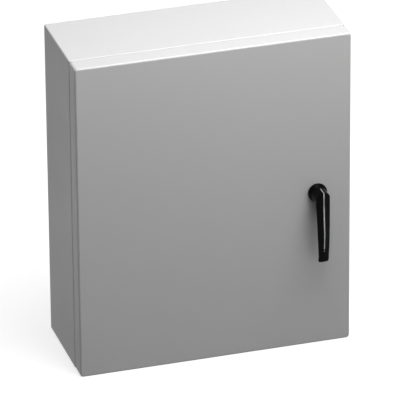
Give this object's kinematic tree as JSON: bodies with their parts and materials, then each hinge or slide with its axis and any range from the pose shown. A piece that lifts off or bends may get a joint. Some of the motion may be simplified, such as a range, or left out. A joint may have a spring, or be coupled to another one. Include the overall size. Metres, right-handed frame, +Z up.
{
  "type": "wall mount enclosure",
  "caption": "Wall-mount aluminium enclosure with one overlapping hinged door, a black lever handle, a three-point latch, a gasket and a mounting panel inside.",
  "frame": {"origin": "centre of the four wall holes, on the outside of the back wall", "axes": "+X to the right seen from the front, +Y back into the wall, +Z up; the door faces -Y"},
  "size_m": [0.508, 0.2475, 0.6096],
  "materials": {
    "body_aluminium": "smooth fine-textured grey finish on sheet aluminium",
    "panel_steel": "white powder coat on steel sheet",
    "zinc_steel": "zinc plated",
    "stainless": "plain stainless",
    "black_diecast": "gloss black coating on zinc die casting",
    "gasket_foam": "closed cell polyurethane foam",
    "black_nylon": "glass filled nylon",
    "bronze_bush": "sintered bronze"
  },
  "bodies": {
    "enclosure": {"enclosure_body": "body_aluminium", "front_frame": "body_aluminium", "mounting_panel": "panel_steel", "panel_studs": "stainless", "panel_nuts": "zinc_steel", "panel_washers": "zinc_steel", "ground_stud": "stainless", "ground_nut": "zinc_steel", "ground_washer": "zinc_steel", "hinge_bracket_upper": "stainless", "hinge_bracket_lower": "stainless", "hinge_pin_upper": "stainless", "hinge_pin_lower": "stainless", "hinge_bracket_screws": "zinc_steel"},
    "door": {"door_shell": "body_aluminium", "door_gasket": "gasket_foam", "lock_rail": "body_aluminium", "hinge_side_rail": "body_aluminium", "hinge_leaf_upper": "stainless", "hinge_leaf_lower": "stainless", "hinge_leaf_studs": "stainless", "hinge_leaf_nuts": "zinc_steel", "door_ground_stud": "stainless", "bar_guides": "black_nylon", "guide_screws": "zinc_steel", "handle_rose": "black_diecast", "rose_gasket": "gasket_foam", "rose_screws": "zinc_steel", "spindle_bush": "bronze_bush"},
    "handle": {"handle_lever": "black_diecast", "latch_spindle": "zinc_steel", "latch_tongue": "zinc_steel", "latch_pinion": "zinc_steel", "spindle_washer": "zinc_steel", "spindle_nut": "zinc_steel"},
    "upper_bar": {"upper_bar": "zinc_steel", "upper_roller_pin": "stainless"},
    "lower_bar": {"lower_bar": "zinc_steel", "lower_roller_pin": "stainless"},
    "upper_roller": {"upper_roller": "black_nylon"},
    "lower_roller": {"lower_roller": "black_nylon"}
  },
  "joints": [
    {"name": "door_swing", "type": "hinge", "parent": "enclosure", "child": "door", "pos_m": [-0.2455, -0.1822, 0], "axis": [0, 0, -1], "range_deg": [0, 105]},
    {"name": "handle_turn", "type": "hinge", "parent": "door", "child": "handle", "pos_m": [0.1913, -0.2032, 0], "axis": [0, 1, 0], "range_deg": [0, 90]},
    {"name": "upper_bar_slide", "type": "slide", "parent": "door", "child": "upper_bar", "axis": [0, 0, 1], "range_m": [0, 0.01575]},
    {"name": "lower_bar_slide", "type": "slide", "parent": "door", "child": "lower_bar", "axis": [0, 0, -1], "range_m": [0, 0.01575]},
    {"name": "upper_roller_spin", "type": "hinge", "parent": "upper_bar", "child": "upper_roller", "pos_m": [0.18565, -0.1532, 0.261], "axis": [1, 0, 0], "continuous": true},
    {"name": "lower_roller_spin", "type": "hinge", "parent": "lower_bar", "child": "lower_roller", "pos_m": [0.19695, -0.1532, -0.261], "axis": [1, 0, 0], "continuous": true}
  ],
  "couplings": [
    {"joint": "upper_bar_slide", "follows": "handle_turn", "m_per_rad": 0.01},
    {"joint": "lower_bar_slide", "follows": "handle_turn", "m_per_rad": 0.01}
  ]
}
